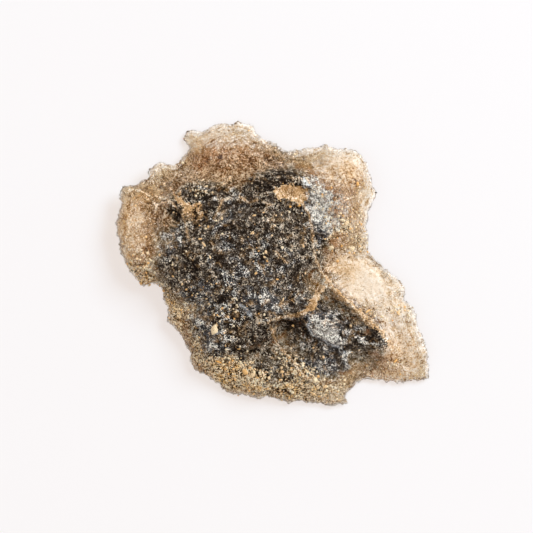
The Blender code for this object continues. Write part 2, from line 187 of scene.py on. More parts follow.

# Patches of each finish and of painted light: centre x, y, half-lengths along and across, turn in degrees,
# strength. Calm is smooth, with a milky veil that is partly painted light; thin is clearer than its depth,
# smoke is dark though thin, deep is the darkest, and pale is painted light shining through the thin rim.
PATCHES = {
    "frost": (
        (5.4, 5.6, 2.4, 3, 0, 0.94), (3.9, 7.9, 1, 0.7, -20, 0.9), (5.4, -6.3, 2.2, 1.3, -22, 0.75),
        (5.6, -7.6, 1.7, 0.45, -24, 1), (3.1, -7.9, 0.9, 0.6, 40, 0.6), (-2.3, -0.2, 4.8, 3.8, -20, 0.28),
        (-1, -3.8, 2.6, 1.4, -10, 0.45), (-10.1, 2.3, 1.7, 1.6, 0, 0.5), (-6.2, -7.8, 1.2, 0.9, 0, 0.45),
        (5.2, -10.4, 2.2, 1, -10, 0.5), (12.8, -7.4, 2, 4.2, 22, 0.35), (-7, 7.5, 0.8, 0.5, 0, 0.6),
        (6, -7, 5, 2.6, -34, 0.35), (-5.8, -5, 3.4, 4, 25, 0.4), (-5.4, 5, 3.6, 2.6, 0, 0.22),
    ),
    "ochre": (
        (-13.2, -1.4, 1.6, 2.6, 25, 1), (-9.8, -4.7, 1.2, 2.8, 25, 0.75), (-3.8, -11.2, 4.2, 1.9, -15, 0.9),
        (2.7, -12.7, 4.6, 1.3, 0, 0.8), (2.7, -10.9, 3.4, 1.3, -30, 0.6), (7.2, 3.3, 2.3, 2.3, 0, 0.6),
        (8.2, 1.8, 1.6, 1.3, 0, 0.6), (0, 3, 5, 3.6, 0, 0.05), (5.6, 5, 2, 2.6, 0, 0.3),
        (-5.8, -4.6, 3.2, 3.6, 25, 0.25), (9.7, -4.9, 1.7, 0.8, 0, 0.55), (8.5, 7.6, 0.8, 0.7, 0, 0.6),
        (12.5, -9.9, 1.1, 0.6, 0, 0.6), (12.3, -4.7, 1.3, 0.6, 0, 0.7), (-7.3, 7.3, 1.3, 0.7, 0, 0.5),
        (-7.6, -8.6, 1, 2.4, 25, 0.6),
    ),
    "calm": (
        (7.2, 4.8, 1.9, 3.4, 0, 0.4), (-13.8, 3, 1.6, 3.8, 0, 0.6), (8.8, -1.7, 4.4, 2.3, -38, 1),
        (-5, 12.3, 4.6, 1.5, 0, 0.5), (9.3, 5.3, 0.9, 4.2, 0, 0.6), (12.6, -8.2, 2.4, 4, 25, 0.75),
        (-5.6, 10.8, 4, 1.2, 0, 0.3), (7, 9.6, 3, 2.2, 0, 0.8), (11.6, -4.6, 2.4, 1.8, -45, 0.8),
    ),
    # Painted light: pale near the rim, standing in for light shining through the thin glass.
    "pale": (
        (-4, 13.2, 6, 2, 0, 1), (-10.9, 9.6, 2.4, 1.6, 40, 0.8), (5.6, 11, 4.8, 1.8, 0, 0.9),
        (9.8, 7, 1.6, 4.6, 0, 1), (9.4, 2.4, 1.4, 2.2, 0, 0.7), (12.6, -2.4, 3.4, 1.8, -45, 0.7),
        (15, -8, 1.8, 4.8, 15, 0.9), (11.4, -12, 4, 1.2, 8, 0.8), (-14.4, 4.4, 1.8, 3.2, 0, 0.55),
        (7.6, 9.4, 2.8, 2.6, 0, 0.8), (7.4, 4.4, 2, 3.6, 0, 0.5), (-13.4, -1.6, 1.4, 2.8, 25, 0.9),
        (12, -4.8, 2.4, 2.2, 0, 0.6), (11.6, -10.6, 2.6, 1.6, 0, 0.7), (-9.9, -5.4, 1.2, 3.2, 28, 0.6),
        (1.5, -13.3, 5.5, 0.9, 0, 0.5), (-13.8, 1.8, 1.6, 3.4, 10, 0.5),
    ),
    "thin": (
        (-4.4, 9.8, 5.6, 2.4, 10, 0.22), (-13, 4.2, 2.6, 4.6, 0, 0.22), (7.6, 4.6, 2.2, 4.4, 0, 0.34),
        (6.6, 9, 3.6, 2.6, 0, 0.3), (9.8, -2.6, 4.4, 2.6, -38, 0.26), (12.4, -9, 3, 3.6, 0, 0.2),
        (-9.6, 7.6, 2.6, 1.6, 20, 0.14),
    ),
    "stain": (
        (-4.4, 9, 5.4, 2.2, 8, 1), (-12.2, 3.4, 3.2, 4.8, 0, 0.25), (-10.4, 4.6, 1.9, 1.5, -15, 0.9),
        (7.1, 8.6, 1.7, 1.4, 0, 0.6), (-8.6, 7.6, 2.4, 1.8, 0, 0.8), (11.6, -9.2, 2.6, 2.2, 0, 0.4),
        (-6.8, -8.4, 2, 4, 25, 0.7), (6.4, 0, 2.4, 1.6, -40, 0.5), (8.6, 3.4, 1.8, 3, 0, 0.15),
    ),
    "smoke": (
        (1, -12.4, 4.8, 1, -6, 0.8), (-5.2, -11.2, 1.8, 0.9, -25, 0.7), (1, -10.4, 5.8, 1.7, -4, 0.8),
        (-5.2, -7.2, 2.2, 4.2, 28, 0.8), (-9.8, -1.4, 2, 3.2, 20, 0.85), (-10.3, 2.2, 1.5, 1.8, 0, 0.6),
        (6.4, -7.2, 5.4, 2.3, -34, 0.85), (-7.8, 5.8, 2, 1.5, 20, 0.7),
    ),
    "deep": (
        (-0.8, 8.3, 3.8, 1.6, 0, 1), (-7.4, 5.2, 1.9, 1.6, 0, 1), (-8.4, 0.8, 0.9, 2.8, 15, 0.7),
        (-4, -6, 1.7, 3.8, 25, 0.8), (1.4, -7, 2.8, 1.5, -20, 0.8), (8.4, -8.2, 2.4, 1.5, -34, 0.8),
        (-0.8, -9.2, 2.6, 1.3, 0, 0.7), (2.6, 4, 1, 1.6, 0, 0.5), (6.4, -4.6, 2, 0.8, -45, 0.7),
        (-5, 8, 4, 0.9, 8, 0.35), (-8.6, 6.6, 1.6, 0.9, 30, 0.6), (-10, 4.4, 1.5, 1.2, -20, 0.8),
        (-6.6, 6.4, 2.6, 1.4, 25, 0.6), (-2, 0, 5, 4, 0, 0.25),
    ),
}

# Flow lines: centre x, y, half-lengths, turn of the patch, direction of the lines in degrees, strength.
FLOW = (
    (-4.5, 11.8, 5, 2.2, 0, 12, 0.9), (-12.6, 3, 2.8, 4.6, 0, 78, 0.5), (9, -1.8, 4.6, 2.4, -38, 78, 0.7),
    (12.8, -8, 2.6, 4.4, 25, -62, 1), (7, 9.6, 3.2, 2, 0, -10, 0.6), (-5, 8.8, 4.6, 1.4, 0, 20, 0.6),
)

# Larger lumps of soil: centre x, y, half-length, half-width, turn, shade from cream 0 to rust 1.
LUMPS = (
    (-5.8, -6.6, 0.5, 0.42, 0, 0.25), (-2, 3, 0.27, 0.15, 5, 0.5), (0.2, 3.7, 0.13, 0.12, 0, 0.1),
    (-0.7, 1.1, 0.2, 0.15, 0, 0.45), (-1.4, 1.2, 0.12, 0.1, 0, 0.9), (0.3, 4.7, 0.1, 0.1, 0, 0.5),
    (0.8, 4.8, 0.17, 0.09, 20, 0.4), (-1.8, 4.7, 0.1, 0.25, -30, 0.6), (-0.9, 5, 0.2, 0.08, 30, 0.6),
    (3, 1.7, 0.22, 0.13, 45, 0.5), (5.8, 1.5, 0.28, 0.23, 0, 0.2), (7.9, 1.4, 0.36, 0.24, 0, 0.2),
    (7.3, 4, 0.3, 0.2, -20, 0.3), (6.8, 4.3, 0.14, 0.14, 0, 0.1), (8.4, 7.9, 0.26, 0.18, 10, 0.9),
    (1.7, 5.6, 0.14, 0.13, 0, 1), (2.6, 5.7, 0.17, 0.14, 0, 1), (-1.7, -1, 0.17, 0.13, 0, 0.8),
    (-0.6, 0.2, 0.12, 0.12, 0, 1), (0.4, -1.6, 0.13, 0.1, 0, 0.9), (-5, 2.9, 0.14, 0.1, -30, 0),
    (-6.8, 1.8, 0.32, 0.12, -20, 0.5), (-7.2, 2.4, 0.2, 0.09, 0, 0.7), (-6.4, 3.6, 0.14, 0.12, 0, 0.8),
    (-7.3, 5.9, 0.17, 0.12, 0, 0.5), (-6.2, 0.6, 0.22, 0.11, -50, 0.4), (-12.4, 1, 0.18, 0.14, 30, 0.2),
    (-11.2, 0.8, 0.16, 0.13, 45, 0.5), (-14.1, 0.1, 0.13, 0.11, 0, 0.7), (-13.9, 0.8, 0.11, 0.1, 0, 0.7),
    (-13.8, -0.6, 0.12, 0.14, 0, 0.6), (-12.8, -1.3, 0.13, 0.12, 0, 0.3), (-11.7, -0.9, 0.16, 0.1, 0, 0),
    (-9.9, -1.3, 0.12, 0.1, 0, 0.8), (-13.2, -2, 0.16, 0.12, 0, 0.8), (-2.8, -10.8, 0.31, 0.28, 0, 0.8),
    (-2, -11.1, 0.24, 0.38, 0, 0.35), (-5.4, -9.8, 0.1, 0.32, 15, 1), (-3.4, -8.5, 0.17, 0.1, 30, 0.9),
    (-4.7, -10.5, 0.14, 0.22, 30, 0.8), (-7.6, -9.7, 0.36, 0.18, -15, 0.15),
    (-0.4, -11.4, 0.18, 0.14, 0, 0.3), (0.9, -10.8, 0.16, 0.21, 0, 0.6), (0.7, -11.6, 0.12, 0.1, 0, 0.9),
    (2.9, -12.3, 0.3, 0.14, 20, 0.3), (4, -13, 0.42, 0.13, -30, 0.5), (4.6, -13.3, 0.18, 0.12, 0, 0.8),
    (4.2, -11.6, 0.3, 0.3, 0, 0.15), (5.2, -12.3, 0.24, 0.16, 0, 0.5), (4, -8.4, 0.14, 0.13, 0, 0.6),
    (5, -9.3, 0.16, 0.14, 0, 0.5), (1.8, -8.5, 0.12, 0.12, 0, 0.2), (-3.8, -11.6, 0.16, 0.12, 0, 0.8),
    (9.4, -4.8, 0.3, 0.12, -35, 0.7), (12.5, -4.9, 0.32, 0.12, 0, 0.5), (12.2, -9.8, 0.28, 0.1, -15, 0.9),
    (7.7, -6.2, 0.13, 0.1, 0, 0.5), (6.4, 0.2, 0.2, 0.13, 30, 0.8), (-7, 8.2, 0.22, 0.12, 20, 0.1),
    (-6.6, 7.6, 0.15, 0.1, -40, 0.3), (-9.3, -5.4, 0.16, 0.12, 60, 0.4), (-6, 7, 0.13, 0.1, 0, 0.3),
    (-12.6, 2.6, 0.16, 0.12, 0, 0.6), (3.2, -1, 0.12, 0.1, 0, 0.4), (1, -3.6, 0.2, 0.09, 15, 0.4),
    (-3.1, 1.4, 0.12, 0.1, 0, 0.2),
)

# How the fine grains of soil are scattered.
SCATTER_SEED = 17
SCATTER_BATCH = 400
SHARE_ABOVE = 0.85
BARE_CHANCE = 0.02
SOIL_CHANCE = 0.9
RAY_START = 20 * MM
FLOOR_CLEARANCE = 1.3
TOP_CLEARANCE = 0.15 * MM
LUMP_FLATNESS = 0.6

# What all colour settings share.
COLOUR = {"subtype": "COLOR", "size": 4, "min": 0.0, "max": 1.0}


class GlassSettings(bpy.types.PropertyGroup):
    """Colour and finish of the natural glass."""

    colour: FloatVectorProperty(
        name="Colour of the glass", description="Hue of what the glass lets through",
        default=(0.945, 0.745, 0.24, 1.0), **COLOUR)
    density: FloatProperty(
        name="Absorption density", description="How fast the glass darkens with depth, per metre",
        default=1200.0, min=0.0)
    ior: FloatProperty(
        name="Refractive index", description="How much the glass bends light",
        default=1.49, min=1.0, max=2.0)
    roughness: FloatProperty(
        name="Etched roughness", description="Satin finish left by weathering",
        subtype="FACTOR", default=0.11, min=0.0, max=1.0)
    thick_tint: FloatVectorProperty(
        name="Tint of the thick glass", description="The thick middle lets little light out",
        default=(0.25, 0.18, 0.12, 1.0), **COLOUR)
    stain_tint: FloatVectorProperty(
        name="Tint of the stained glass", description="Brown, rusty lobes",
        default=(0.97, 0.65, 0.20, 1.0), **COLOUR)
    # The veil is a milky film that is also painted light: it stands in for light shining through the thin
    # glass.
    veil_and_through_light_colour: FloatVectorProperty(
        name="Colour of the veil", description="Milky film on the thin, smooth places",
        default=(1.0, 0.98, 0.96, 1.0), **COLOUR)
    fibre_colour: FloatVectorProperty(
        name="Colour of the fibres", description="Fine brown lines in the milky film",
        default=(0.33, 0.20, 0.08, 1.0), **COLOUR)


class EtchSettings(bpy.types.PropertyGroup):
    """Sizes of the etched relief."""

    line_edge: FloatProperty(
        name="Mesh size at lines", description="Longest edge of the mesh at crests", unit="LENGTH",
        default=0.115 * MM, min=0.05 * MM)
    upper_edge: FloatProperty(
        name="Mesh size above", description="Longest edge of the mesh on the upper face", unit="LENGTH",
        default=0.170 * MM, min=0.05 * MM)
    under_edge: FloatProperty(
        name="Mesh size below", description="Longest edge of the mesh on the underside", unit="LENGTH",
        default=0.360 * MM, min=0.05 * MM)
    wrinkles: FloatProperty(
        name="Wrinkle height", description="Height of the crumpled ridges", unit="LENGTH",
        default=0.14 * MM, min=0.0)
    grain: FloatProperty(
        name="Grain height", description="Height of the sandpaper grain", unit="LENGTH",
        default=0.060 * MM, min=0.0)
    cups: FloatProperty(
        name="Cup depth", description="Depth of the small round cups", unit="LENGTH",
        default=0.12 * MM, min=0.0)
    flow: FloatProperty(
        name="Flow line height", description="Height of the lines of flow", unit="LENGTH",
        default=0.05 * MM, min=0.0)
    crest: FloatProperty(
        name="Crest height", description="How far a crest stands above its scars", unit="LENGTH",
        default=0.15 * MM, min=0.0)
    chips: FloatProperty(
        name="Chip depth", description="Depth of the fine chips along the rim", unit="LENGTH",
        default=0.26 * MM, min=0.0)


class SoilSettings(bpy.types.PropertyGroup):
    """Grains of soil lodged in the pits."""

    count: IntProperty(name="Number of grains", description="Grains on both faces", default=1500, min=0)
    least: FloatProperty(
        name="Least radius", description="Radius of the finest grain", unit="LENGTH",
        default=0.035 * MM, min=0.0)
    greatest: FloatProperty(
        name="Greatest radius", description="Radius of the coarsest common grain", unit="LENGTH",
        default=0.16 * MM, min=0.0)
    pale: FloatVectorProperty(
        name="Pale soil", description="Colour of the dried silt", default=(0.94, 0.80, 0.56, 1.0), **COLOUR)
    rusty: FloatVectorProperty(
        name="Rusty soil", description="Colour of the iron-stained grains",
        default=(0.86, 0.43, 0.09, 1.0), **COLOUR)


class StageSettings(bpy.types.PropertyGroup):
    """Table, lights and camera."""

    table_colour: FloatVectorProperty(
        name="Table colour", description="Matt white surface",
        default=(0.2373, 0.2881, 0.3347, 1.0), **COLOUR)
    table_glow: FloatProperty(
        name="Table glow", description="Light that the table gives by itself", default=0.70, min=0.0)
    key: FloatProperty(
        name="Key light", description="Power of the light at the upper right", unit="POWER",
        default=2.30, min=0.0)
    top: FloatProperty(
        name="Top light", description="Power of the cool light almost overhead", unit="POWER",
        default=0.448, min=0.0)
    sky: FloatProperty(
        name="Surround", description="Brightness of the pale room around the table", default=1.062, min=0.0)
    sky_top: FloatProperty(
        name="Surround overhead", description="Share of that brightness right overhead", subtype="FACTOR",
        default=0.30, min=0.0, max=1.0)


class Value:
    """A shader socket that takes part in Python sums: each sum adds the Math node that works it out."""

    def __init__(self, graph, socket):
        self.graph = graph
        self.socket = socket

    def maths(self, operation, *terms):
        return self.graph.add("Math", dict(enumerate(terms)), operation=operation)

    def __add__(self, other):
        return self.maths("ADD", self, other)

    def __sub__(self, other):
        return self.maths("SUBTRACT", self, other)

    def __mul__(self, other):
        return self.maths("MULTIPLY", self, other)

    def __rsub__(self, other):
        return self.maths("SUBTRACT", other, self)

    __radd__ = __add__
    __rmul__ = __mul__

    def at_most(self, other):
        return self.maths("MINIMUM", self, other)

    def at_least(self, other):
        return self.maths("MAXIMUM", self, other)

    def size(self):
        return self.maths("ABSOLUTE", self)

    def line(self, level, width):
        """1 where the value is at this level, falling to 0 over the width."""
        return (1.0 - (self - level).size() * (1.0 / width)).at_least(0.0)

    def between(self, low, high):
        """0 below low, 1 above high and a smooth step between."""
        return self.graph.add("MapRange", {"Value": self, "From Min": low, "From Max": high},
                              interpolation_type="SMOOTHSTEP")


class Graph:
    """Adds nodes to one node tree."""

    def __init__(self, tree):
        self.tree = tree
        tree.nodes.clear()

    def add(self, kind, inputs=None, output=0, **settings):
        """Adds a shader node with its settings and the values or links of its sockets; gives one output."""
        node = self.tree.nodes.new("ShaderNode" + kind)
        for name, value in settings.items():
            setattr(node, name, value)
        for name, value in (inputs or {}).items():
            if isinstance(value, Value):
                self.tree.links.new(value.socket, node.inputs[name])
            else:
                node.inputs[name].default_value = value
        return Value(self, node.outputs[output]) if len(node.outputs) else node

    def mask(self, name):
        """A mask painted on the mesh's points."""
        return self.add("Attribute", output="Fac", attribute_name=name)

    def noise(self, place, size, detail=3.0, roughness=0.55, distortion=0.0):
        """Noise of about 0.3 to 0.7 whose lumps are this size in metres."""
        return self.add("TexNoise", {"Vector": place, "Scale": 1.0 / size, "Detail": detail,
                                     "Roughness": roughness, "Distortion": distortion})

    def blend(self, share, first, second):
        """A colour between two."""
        return self.add("Mix", {0: share, 6: first, 7: second}, 2, data_type="RGBA", clamp_factor=True)

    def times(self, first, second):
        """Two colours multiplied."""
        return self.add("Mix", {0: 1.0, 6: first, 7: second}, 2, data_type="RGBA", blend_type="MULTIPLY")

    def ramp(self, share, stops):
        """A colour read from a ramp."""
        colour = self.add("ValToRGB", {"Fac": share})
        ramp = colour.socket.node.color_ramp
        while len(ramp.elements) < len(stops):
            ramp.elements.new(0.5)
        for element, (place, paint) in zip(ramp.elements, stops):
            element.position = place
            element.color = paint
        return colour

    def vector(self, operation, *terms):
        return self.add("VectorMath", dict(enumerate(terms)), operation=operation)

    def cells(self, place, size):
        """Small cells of this size: the distance from a cell's middle, and three chances of its own."""
        distance = self.add("TexVoronoi", {"Vector": place, "Scale": 1.0 / size})
        colour = Value(self, distance.socket.node.outputs["Color"])
        parts = self.add("SeparateColor", {0: colour}).socket.node.outputs
        return distance, [Value(self, socket) for socket in parts]

    def bumps(self, height, strength, distance):
        """A normal bent by the slope of this height."""
        return self.add("Bump", {"Strength": strength, "Distance": distance, "Height": height})


def new_material(name):
    material = bpy.data.materials.new(name)
    material.use_nodes = True
    return material, Graph(material.node_tree)


TONE_STOPS = (0.0, 0.2, 0.4, 0.55, 0.7, 0.88, 1.0)


def stops(*colours, places=TONE_STOPS):
    """Stops of a ramp that has these colours at these places, from its darkest to its lightest."""
    return tuple((place, (*colour, 1.0)) for place, colour in zip(places, colours))


STONE = stops((0.006, 0.0025, 0.001), (0.017, 0.0092, 0.0042), (0.042, 0.027, 0.0165), (0.078, 0.059, 0.044),
              (0.13, 0.106, 0.087), (0.27, 0.225, 0.185), (0.62, 0.5, 0.36))
SLATE = stops((0.01, 0.0075, 0.006), (0.027, 0.023, 0.021), (0.06, 0.055, 0.056), (0.1, 0.095, 0.098),
              (0.152, 0.146, 0.15), (0.29, 0.275, 0.26), (0.72, 0.65, 0.55))
FROSTED = stops((0.038, 0.027, 0.018), (0.095, 0.073, 0.055), (0.185, 0.155, 0.128), (0.285, 0.248, 0.213),
                (0.41, 0.365, 0.32), (0.72, 0.655, 0.58), (1.0, 0.95, 0.86))
# Colours of the painted bluish-white highlight on bruised edges.
BRUISE_HIGHLIGHT_COLOURS = stops((0.07, 0.065, 0.065), (0.16, 0.16, 0.17), (0.31, 0.32, 0.35), (0.46, 0.48, 0.52),
                (0.62, 0.65, 0.69), (0.85, 0.87, 0.89), (1.0, 1.0, 0.98))
SOIL = stops((0.015, 0.0066, 0.0018), (0.044, 0.021, 0.0062), (0.142, 0.077, 0.031), (0.305, 0.18, 0.083),
             (0.59, 0.355, 0.162), (0.98, 0.7, 0.39), (1.0, 0.92, 0.72))
LOBE = stops((0.06, 0.026, 0.007), (0.15, 0.075, 0.025), (0.36, 0.21, 0.09), (0.54, 0.35, 0.17),
             (0.7, 0.49, 0.27), (0.88, 0.69, 0.45), (1.0, 0.9, 0.74))
LEDGE = stops((0.1, 0.045, 0.015), (0.24, 0.118, 0.042), (0.45, 0.25, 0.1), (0.6, 0.36, 0.168),
              (0.74, 0.485, 0.27), (0.9, 0.7, 0.49), (1.0, 0.9, 0.76))
WEAVE = stops((0.05, 0.02, 0.003), (0.36, 0.2, 0.06), (0.9, 0.74, 0.5), (1.0, 1.0, 1.0),
              places=(0.1, 0.3, 0.46, 0.62))
# Colours of the milky veil, which is partly painted light shining through the thin glass.
VEIL_AND_THROUGH_LIGHT = stops((0.22, 0.105, 0.032), (0.53, 0.33, 0.16), (0.77, 0.58, 0.39), (0.92, 0.79, 0.66),
             (0.98, 0.92, 0.87), places=(0.2, 0.38, 0.54, 0.72, 0.92))
# Painted light: the rim's crust is painted pale cream, with brown flecks, standing in for light shining
# through the thin edge.
RIM_THROUGH_LIGHT = stops((0.16, 0.09, 0.045), (0.5, 0.36, 0.24), (0.93, 0.86, 0.78), (1.0, 0.98, 0.96),
            places=(0.0, 0.3, 0.5, 1.0))
WHITE = (1.0, 1.0, 1.0, 1.0)
NEARLY_WHITE = (1.0, 0.985, 0.965, 1.0)
RUST = (1.0, 0.70, 0.32, 1.0)
HUMUS = (0.30, 0.17, 0.07, 1.0)
TABLE_LIGHT = (1.0, 0.875, 0.80, 1.0)
MASKS = (*PATCHES, "tan", "crest", "peak", "depth", "upper", "rim", "flow", "crack", "bruise", "inland")


def shared_textures(graph):
    """The masks on the flake's points, and the grain, lines and bands that its finishes share."""
    t = SimpleNamespace(**{name: graph.mask(name) for name in MASKS})
    place = graph.add("TexCoord", output="Object")
    wobble = graph.add("TexNoise", {"Vector": place, "Scale": 1 / (0.24 * MM)}, output="Color")
    shifted = graph.vector("MULTIPLY_ADD", wobble, (0.30 * MM,) * 3, place)
    t.speck, t.chance = graph.cells(shifted, 0.17 * MM)
    t.granule, _ = graph.cells(shifted, 0.50 * MM)
    t.rings = 0.34 * t.granule.line(0.36, 0.09) - 0.22 * (1.0 - t.granule.between(0.10, 0.30))
    wall = graph.add("TexVoronoi", {"Vector": shifted, "Scale": 1 / (0.62 * MM)}, feature="DISTANCE_TO_EDGE")
    t.walls = 1.0 - wall.between(0.02, 0.13)

    t.fine = graph.noise(place, 0.125 * MM, detail=1.0, roughness=0.5) - 0.5
    t.middling = graph.noise(shifted, 0.55 * MM, detail=2.0) - 0.5
    t.patch = graph.noise(shifted, 0.85 * MM) - 0.5
    t.drift = graph.noise(place, 1.4 * MM) - 0.5

    t.curl = graph.noise(shifted, 0.42 * MM, roughness=0.6, distortion=0.8)
    t.loops = graph.noise(shifted, 0.75 * MM, distortion=1.2)
    t.light_lines = 0.42 * t.curl.line(0.50, 0.05) + 0.34 * t.loops.line(0.46, 0.035)
    t.dark_lines = 0.42 * t.curl.line(0.42, 0.045) + 0.42 * t.loops.line(0.55, 0.04)
    t.strokes = t.light_lines - t.dark_lines
    across = graph.add("CombineXYZ", {0: 24.0 * t.inland + 1.2 * t.curl})
    along_rim = graph.vector("MULTIPLY_ADD", place, (0.55 / MM,) * 3, across)
    t.bands = graph.noise(along_rim, 1.0) - 0.5
    return t


def crust_levels(t):
    """How far the glass counts as thick, where the crust covers it, and how light the crust is."""
    thick = (t.depth - t.thin + 0.5 * t.drift + 0.45 * t.middling).between(0.17, 0.60)
    thick = thick.at_least(t.smoke).at_least(t.crack)
    clean = (1.0 - thick) * (1.0 - t.ochre)
    level = 0.42 + 0.56 * thick + 0.25 * t.frost + 0.25 * t.ochre - 0.30 * t.calm
    level = level + 0.9 * t.drift + 0.5 * t.middling
    # Less crust where the pale mask paints light shining through the thin rim.
    level = (level - 0.22 * clean - 0.35 * t.pale * clean) * (0.12 + 0.88 * t.upper)
    level = level - 0.5 - 1.5 * t.fine - 1.5 * (t.curl - 0.5) - 0.3 * (t.chance[0] - 0.5)
    crusted = level.between(-0.05, 0.05)

    gaps = (1.0 - t.loops.between(0.39, 0.44)) * thick.at_least(t.ochre)
    busy = 1.0 + thick * (0.95 * t.patch.between(-0.05, 0.12) - 0.5) + 0.25 * t.ochre
    tone = 0.51 + busy * (2.6 * t.fine + 1.1 * t.strokes + 0.8 * t.rings * (0.4 + 0.6 * thick))
    # Painted shade: the crust is painted darker in the relief's hollows and lighter on its peaks.
    tone = tone + 0.6 * t.middling + 0.5 * t.drift + 0.5 * (t.peak - 0.5) - 0.28 * gaps + 0.03 * t.ochre
    tone = tone + 0.5 * t.bands * (1.0 - thick) + 0.14 * (t.chance[1] - 0.5) - 0.5 * t.crack
    tone = tone + 0.4 * t.chance[1].between(0.90, 0.97)
    return thick, crusted, tone


def crust_colour(graph, t, thick, tone):
    """Stone and slate on the thick glass, brown on the thin, with soil and frost over both."""
    slaty = (1.3 * t.frost - 0.30 - 0.4 * t.deep + 2.2 * t.patch).between(-0.15, 0.15)
    stone = graph.ramp(tone - 0.15 - 0.22 * t.deep, STONE)
    stone = graph.blend(slaty, stone, graph.ramp(0.65 * tone + 0.04 - 0.08 * t.deep, SLATE))
    crust = graph.blend(thick, graph.ramp(tone + 0.20 - 0.34 * t.stain, LOBE), stone)

    soiled = (0.9 * t.ochre - 0.5 + 1.7 * t.middling + 0.9 * t.fine).between(-0.05, 0.05)
    rusty = t.ochre * (t.patch + 0.5 * t.fine).between(0.01, 0.09)
    sand = graph.ramp(1.2 * tone - 0.13 - 0.15 * t.deep, SOIL)
    crust = graph.blend(soiled, crust, graph.times(sand, graph.blend(rusty, WHITE, RUST)))

    frosted = (0.9 * t.frost - 0.5 + 1.7 * t.patch + 0.8 * t.fine).between(-0.06, 0.06)
    frost = graph.ramp(0.85 * tone + 0.05 + 0.20 * t.frost + 0.2 * t.thin, FROSTED)
    return graph.blend(frosted, crust, frost)


def film_and_light_levels(t):
    """How light the film's fibres are, with painted shade and light, and the cover of the film, partly
    painted light.
    """
    weave_and_painted_light = 1.9 * t.fine + 1.1 * t.middling + (2.0 - 1.2 * t.stain) * t.bands + 1.1 * t.strokes
    # Painted shade: the film's fibres are painted darker in hollows and lighter on peaks.
    weave_and_painted_light = weave_and_painted_light + 0.5 * (t.peak - 0.5)
    weave_and_painted_light = weave_and_painted_light + (2.4 * t.drift + 1.2 * t.rings - 0.35 * t.loops.line(0.60, 0.03)) * t.stain
    weave_and_painted_light = weave_and_painted_light * (0.8 + 0.6 * t.stain) * (1.0 - 0.8 * t.calm) + 0.57
    # Painted light: the fibres are painted lighter in the calm and pale places.
    weave_and_painted_light = weave_and_painted_light + (0.11 * t.calm).at_least(0.25 * t.pale)
    weave_and_painted_light = weave_and_painted_light - 0.12 * t.stain - 0.20 * t.walls * t.stain - 0.10 * t.deep
    weave_and_painted_light = weave_and_painted_light.at_least(0.36 * t.calm)
    # The veil covers the calm, pale and stained places: a milky film that is partly painted light shining
    # through the thin glass.
    veil_and_through_light = t.calm.at_least(t.pale).at_least(0.6 * t.stain) * t.upper
    veil_and_through_light = veil_and_through_light + 0.5 * (t.curl - 0.5) + 0.5 * t.fine + 0.4 * t.bands
    return weave_and_painted_light, 0.85 * veil_and_through_light.between(0.10, 1.0)


def marked_crust(graph, t, tone, crust):
    """The crust with rubbed facets and crests, painted highlights on bruises, a rim painted pale, and how
    far it is rubbed.
    """
    facet = t.tan - 0.38 + 1.5 * t.fine + 1.3 * (t.curl - 0.5) + 0.8 * t.middling
    rubbed = facet.between(-0.08, 0.12).at_least(t.crest * (0.85 + 1.8 * t.fine))
    ledge = tone * (0.65 - 0.2 * t.tan) + 0.17 + (0.05 + 0.9 * t.drift) * t.tan
    crust = graph.blend(rubbed, crust, graph.ramp(ledge, LEDGE))
    # Painted highlight: bluish-white along the bruised edges, standing in for a reflection of the cool
    # light.
    crust = graph.blend(t.bruise, crust, graph.ramp(tone + 0.10, BRUISE_HIGHLIGHT_COLOURS))
    # Painted light: the rim is covered with pale cream crust in place of light shining through the thin
    # edge.
    crust = graph.blend(t.rim, crust, graph.ramp(0.62 + 2.2 * t.fine + 1.4 * t.middling, RIM_THROUGH_LIGHT))
    return crust, rubbed


def glass_tint(graph, t, thick, weave_and_painted_light, glass):
    """What tints the see-through glass: stain, flow lines, fibres, and the dark of thick places."""
    tint = graph.blend(t.stain * (0.85 + 1.0 * t.drift), NEARLY_WHITE, glass.stain_tint)
    lined = (3.4 * t.dark_lines * (0.15 + 0.85 * t.stain)).at_least(0.5 * (t.flow - 0.55).between(0.0, 0.3))
    tint = graph.blend(lined * t.upper, tint, glass.fibre_colour)
    # The fibres' lightness, with its painted shade and light, also tints the see-through glass.
    tint = graph.times(tint, graph.ramp(weave_and_painted_light, WEAVE))
    return graph.blend(thick, tint, glass.thick_tint)


